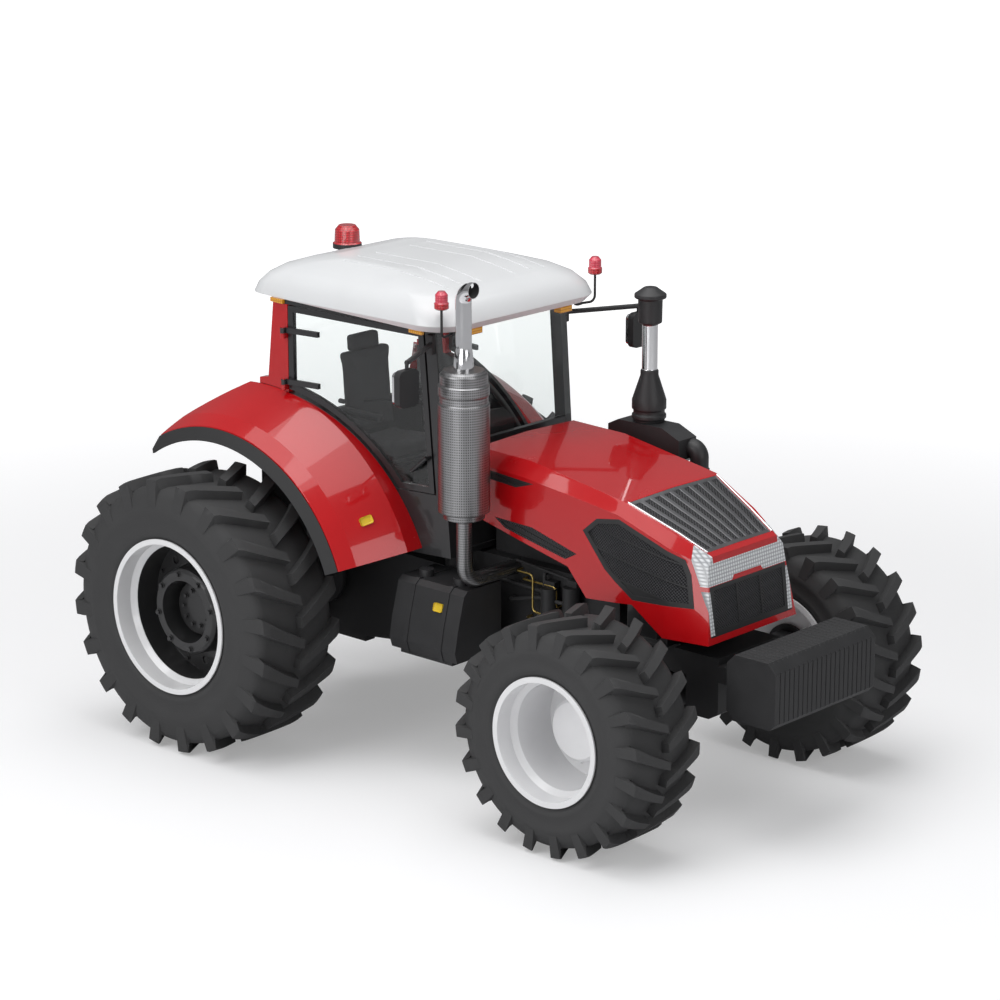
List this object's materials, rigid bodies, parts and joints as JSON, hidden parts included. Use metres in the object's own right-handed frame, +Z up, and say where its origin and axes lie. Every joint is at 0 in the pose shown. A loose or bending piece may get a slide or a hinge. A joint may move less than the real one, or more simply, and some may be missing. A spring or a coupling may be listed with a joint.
{
  "type": "farm tractor",
  "caption": "Four-wheel-drive farm tractor with closed cab, tilting hood, steered front wheels, upright exhaust, front ballast and rear three-point hitch.",
  "frame": {"origin": "on the ground, under the middle of the whole tractor's length and width", "axes": "+X forward, +Y to the tractor's left, +Z up"},
  "size_m": [5.3226, 3.322, 3.208],
  "materials": {
    "tyre_rubber": "matte",
    "rim_white": "gloss",
    "rim_grey": "satin",
    "red_paint": "gloss",
    "white_roof": "gloss",
    "black_paint": "satin",
    "cast_black": "matte",
    "black_rubber": "matte",
    "black_plastic": "matte",
    "glass_clear": "gloss",
    "steel_brushed": "satin",
    "chrome": "gloss",
    "louvre_silver": "satin",
    "lamp_clear": "gloss",
    "lamp_red": "gloss",
    "lamp_amber": "gloss",
    "seat_fabric": "matte"
  },
  "bodies": {
    "chassis": {"front_frame": "cast_black", "front_axle": "cast_black", "engine": "cast_black", "transmission": "cast_black", "rear_axle": "cast_black", "drawbar": "cast_black", "radiator_pack": "black_paint", "front_weights": "cast_black", "muffler": "steel_brushed", "exhaust_stack": "chrome", "air_cleaner": "black_plastic", "precleaner": "black_plastic", "service_tank": "black_plastic", "fuel_tank": "black_plastic", "cab_base": "black_paint", "cab_frame": "black_paint", "rear_pillars": "red_paint", "cab_roof": "white_roof", "cab_glass": "glass_clear", "fenders": "red_paint", "fender_lips": "black_rubber", "seat": "seat_fabric", "dashboard": "black_plastic", "steering_wheel": "black_plastic", "mirrors": "black_plastic", "roof_beacon": "lamp_red", "corner_beacons": "lamp_red", "marker_lamps": "lamp_amber", "hood_hinge": "black_paint"},
    "rear_wheel_right": {"rear_wheel_right": "rim_grey", "rear_tyre_right": "tyre_rubber"},
    "knuckle_right": {"knuckle_right": "cast_black"},
    "front_wheel_right": {"front_wheel_right": "rim_white", "front_tyre_right": "tyre_rubber"},
    "door_right": {"door_right": "black_paint", "door_glass_right": "glass_clear"},
    "rear_wheel_left": {"rear_wheel_left": "rim_grey", "rear_tyre_left": "tyre_rubber"},
    "knuckle_left": {"knuckle_left": "cast_black"},
    "front_wheel_left": {"front_wheel_left": "rim_white", "front_tyre_left": "tyre_rubber"},
    "door_left": {"door_left": "black_paint", "door_glass_left": "glass_clear"},
    "steering_rod": {"steering_rod": "chrome"},
    "hood": {"hood": "red_paint", "side_grilles": "black_plastic", "top_louvres": "louvre_silver", "nose_mask": "black_plastic", "headlamps": "lamp_clear"},
    "lower_links": {"lower_links": "cast_black"},
    "lift_arms": {"lift_arms": "cast_black"},
    "lift_rods": {"lift_rods": "cast_black"},
    "top_link": {"top_link": "cast_black"}
  },
  "joints": [
    {"name": "rear_wheel_right_spin", "type": "hinge", "parent": "chassis", "child": "rear_wheel_right", "pos_m": [-1.31173, -1.311, 0.905], "axis": [0, 1, 0], "continuous": true},
    {"name": "steer_right", "type": "hinge", "parent": "chassis", "child": "knuckle_right", "pos_m": [1.67327, -0.86, 0.718], "axis": [0, 0, 1], "range_deg": [-27, 27]},
    {"name": "front_wheel_right_spin", "type": "hinge", "parent": "knuckle_right", "child": "front_wheel_right", "pos_m": [1.67327, -1.121, 0.718], "axis": [0, 1, 0], "continuous": true},
    {"name": "door_right_hinge", "type": "hinge", "parent": "chassis", "child": "door_right", "pos_m": [-1.07673, -0.8, 2.3], "axis": [0, 0, -1], "range_deg": [0, 75]},
    {"name": "rear_wheel_left_spin", "type": "hinge", "parent": "chassis", "child": "rear_wheel_left", "pos_m": [-1.31173, 1.311, 0.905], "axis": [0, 1, 0], "continuous": true},
    {"name": "steer_left", "type": "hinge", "parent": "chassis", "child": "knuckle_left", "pos_m": [1.67327, 0.86, 0.718], "axis": [0, 0, 1], "range_deg": [-27, 27]},
    {"name": "front_wheel_left_spin", "type": "hinge", "parent": "knuckle_left", "child": "front_wheel_left", "pos_m": [1.67327, 1.121, 0.718], "axis": [0, 1, 0], "continuous": true},
    {"name": "door_left_hinge", "type": "hinge", "parent": "chassis", "child": "door_left", "pos_m": [-1.07673, 0.8, 2.3], "axis": [0, 0, 1], "range_deg": [0, 75]},
    {"name": "steering_rod_slide", "type": "slide", "parent": "chassis", "child": "steering_rod", "axis": [0, 1, 0], "range_m": [-0.0849, 0.0849]},
    {"name": "hood_hinge", "type": "hinge", "parent": "chassis", "child": "hood", "pos_m": [0.34827, 0, 2], "axis": [0, -1, 0], "range_deg": [0, 50]},
    {"name": "lift_arms_pivot", "type": "hinge", "parent": "chassis", "child": "lift_arms", "pos_m": [-1.46173, 0, 1.25], "axis": [0, 1, 0], "range_deg": [-8, 28]},
    {"name": "lower_links_pivot", "type": "hinge", "parent": "chassis", "child": "lower_links", "pos_m": [-1.46173, 0, 0.6], "axis": [0, 1, 0], "range_deg": [-8, 28]},
    {"name": "lift_rods_pivot", "type": "hinge", "parent": "lift_arms", "child": "lift_rods", "pos_m": [-1.95603, 0, 1.17701], "axis": [0, 1, 0], "range_deg": [-28, 8]},
    {"name": "top_link_pivot", "type": "hinge", "parent": "chassis", "child": "top_link", "pos_m": [-1.64173, 0, 1.045], "axis": [0, 1, 0], "range_deg": [0, 45]}
  ],
  "couplings": [
    {"joint": "steer_left", "follows": "steer_right", "ratio": 1},
    {"joint": "steering_rod_slide", "follows": "steer_right", "m_per_rad": -0.18},
    {"joint": "lower_links_pivot", "follows": "lift_arms_pivot", "ratio": 1},
    {"joint": "lift_rods_pivot", "follows": "lift_arms_pivot", "ratio": -1}
  ]
}
